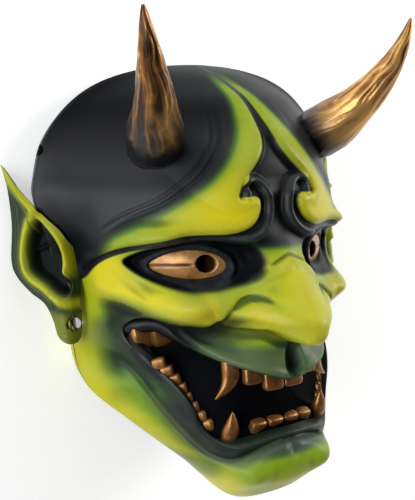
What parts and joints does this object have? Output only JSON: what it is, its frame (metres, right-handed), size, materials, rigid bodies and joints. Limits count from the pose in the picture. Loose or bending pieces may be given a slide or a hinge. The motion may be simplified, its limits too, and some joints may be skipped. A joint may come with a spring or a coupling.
{
  "type": "oni mask",
  "caption": "Full-face horned demon mask, hollow behind, with an open fanged mouth, pointed ears and pupil holes, lying on its rim.",
  "frame": {"origin": "centre of the mask's outline on the surface it lies on, at the level of its rim", "axes": "+X to the mask's own left, +Y up the face from the chin to the crown, +Z out of the face"},
  "size_m": [0.2266, 0.2619, 0.1319],
  "materials": {
    "painted_resin": "cast resin airbrushed in satin black, grey-green, green and yellow",
    "bronze_horn": "cast resin in antique bronze paint with gold veins"
  },
  "bodies": {
    "root": {"mask": "painted_resin", "horn_left": "bronze_horn", "horn_right": "bronze_horn"}
  },
  "joints": []
}
